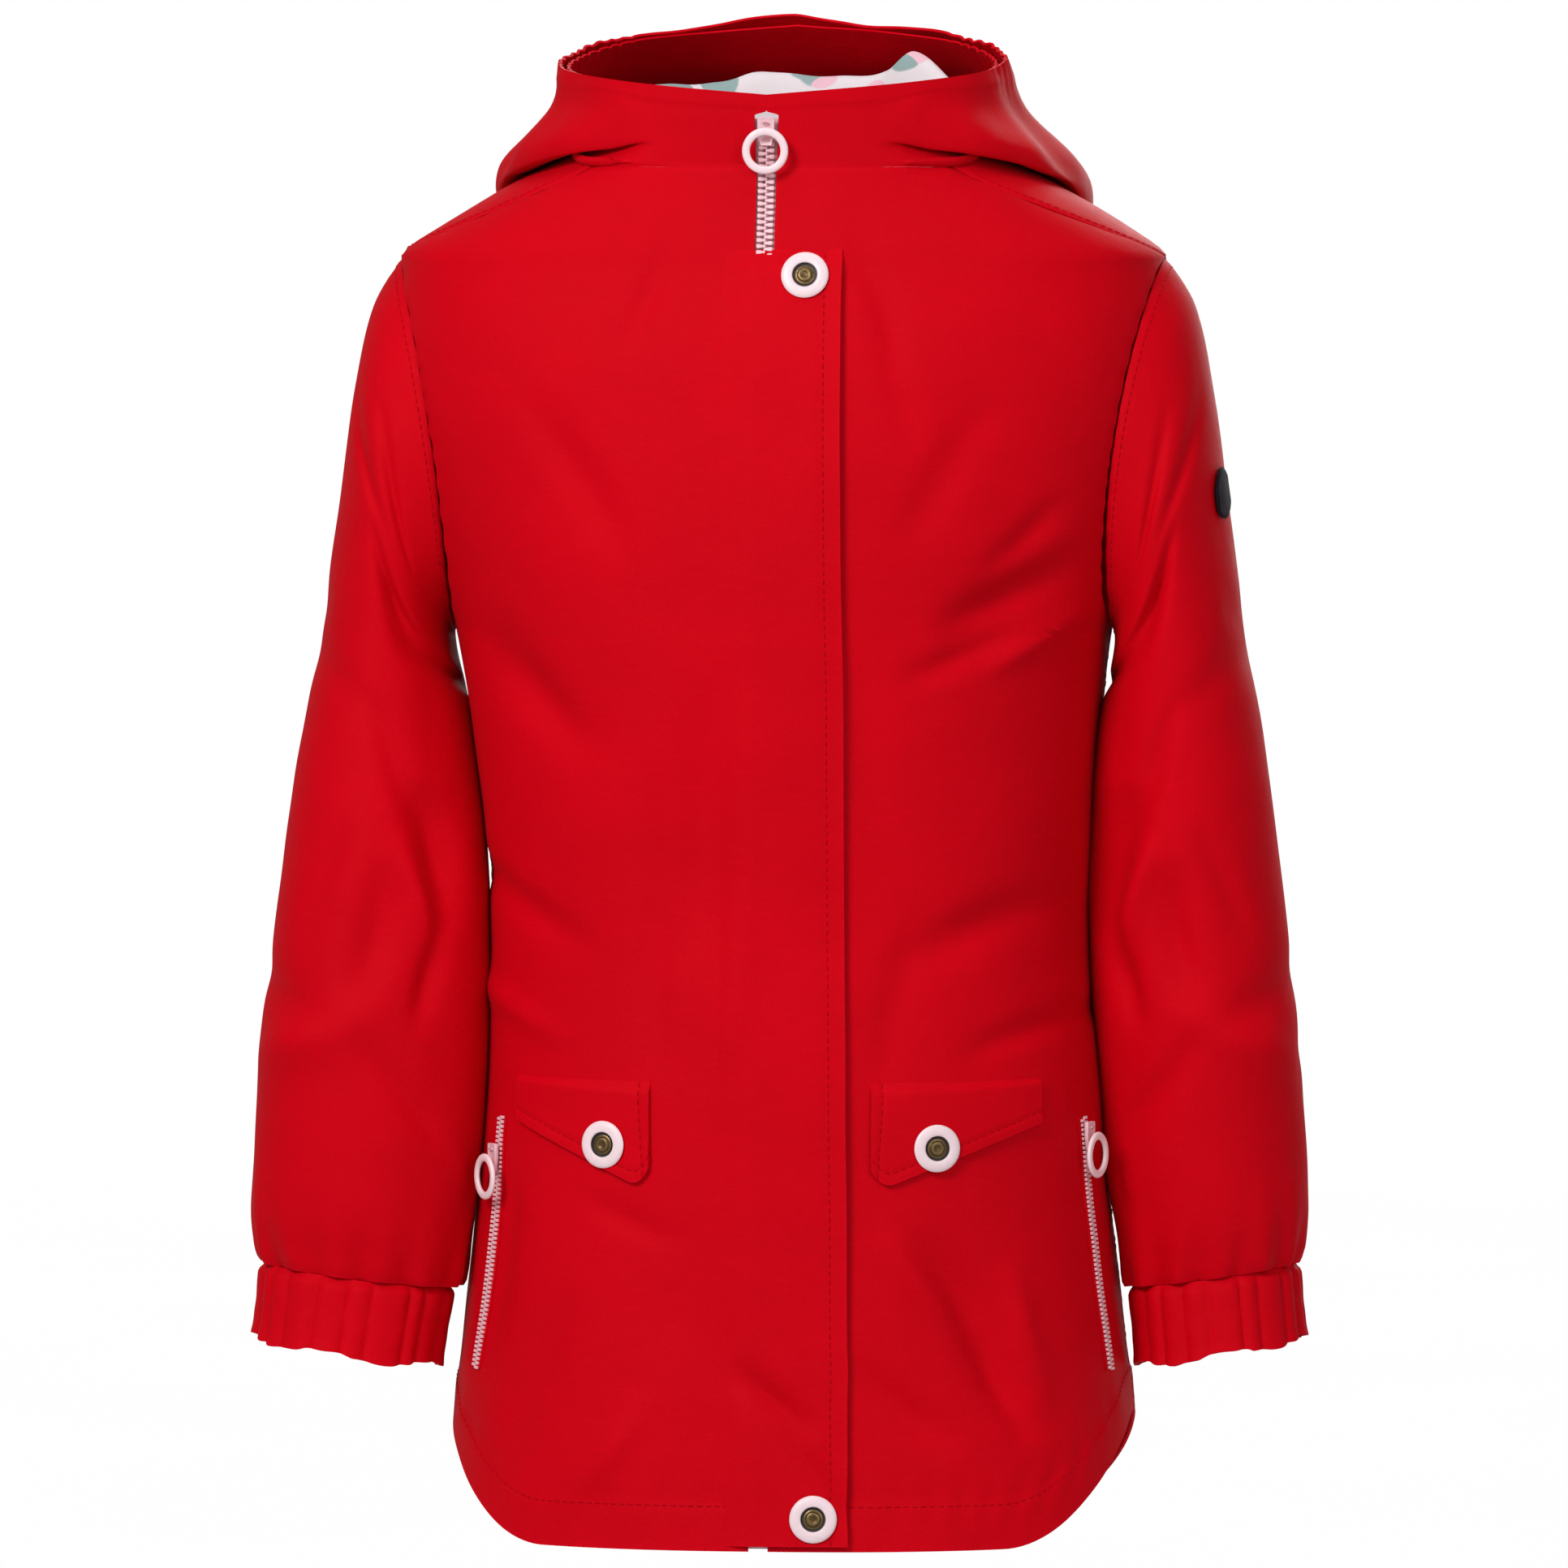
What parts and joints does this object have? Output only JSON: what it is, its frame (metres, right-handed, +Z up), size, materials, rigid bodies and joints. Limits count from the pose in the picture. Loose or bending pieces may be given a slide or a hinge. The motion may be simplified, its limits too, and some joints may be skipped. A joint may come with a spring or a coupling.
{
  "type": "rain jacket",
  "caption": "Child's hooded rain jacket, hollow as worn with the hood down, with a zip under a storm flap, snap closures, side pockets and elastic cuffs",
  "frame": {"origin": "middle of the neck opening, level with the neck ends of the shoulders, where the wearer holds the jacket up", "axes": "+X is the wearer's left, -Y is the front, +Z is up; millimetres in the source, metres here"},
  "size_m": [0.405, 0.2549, 0.5796],
  "materials": {
    "shell": "coated woven cloth, satin, red",
    "lining": "soft printed cloth, matt",
    "trim": "moulded, satin, pale pink",
    "zip": "moulded teeth on woven tape, pale pink",
    "stud": "darkened",
    "badge": "plain dark patch, matt"
  },
  "bodies": {
    "jacket": {"front_left": "shell", "front_right": "shell", "back": "shell", "sleeve_left": "shell", "sleeve_right": "shell", "cuff_left": "shell", "cuff_right": "shell", "hood": "shell", "hood_facing": "shell", "hood_lining": "lining", "storm_flap": "shell", "pocket_flap_left": "shell", "pocket_flap_right": "shell", "main_zip_chain": "zip", "main_zip_tape": "zip", "pocket_zip_left": "zip", "pocket_zip_right": "zip", "main_slider": "zip", "pocket_left_slider": "zip", "pocket_right_slider": "zip", "snap_cap_top": "trim", "snap_cap_hem": "trim", "snap_cap_pocket_left": "trim", "snap_cap_pocket_right": "trim", "snap_stud_top": "stud", "snap_stud_hem": "stud", "snap_stud_pocket_left": "stud", "snap_stud_pocket_right": "stud", "sleeve_badge": "badge"},
    "main_pull": {"main_ring": "trim"},
    "pocket_left_pull": {"pocket_left_ring": "trim"},
    "pocket_right_pull": {"pocket_right_ring": "trim"}
  },
  "joints": [
    {"name": "main_ring_swing", "type": "hinge", "parent": "jacket", "child": "main_pull", "pos_m": [0, -0.07454, 0.00156], "axis": [-1, 0, 0], "range_deg": [0, 150]},
    {"name": "pocket_left_ring_swing", "type": "hinge", "parent": "jacket", "child": "pocket_left_pull", "pos_m": [0.12409, -0.04092, -0.38095], "axis": [-0.3496, -0.9369, 0], "range_deg": [0, 150]},
    {"name": "pocket_right_ring_swing", "type": "hinge", "parent": "jacket", "child": "pocket_right_pull", "pos_m": [-0.10941, -0.05483, -0.38988], "axis": [-0.5122, 0.8589, 0], "range_deg": [0, 150]}
  ]
}
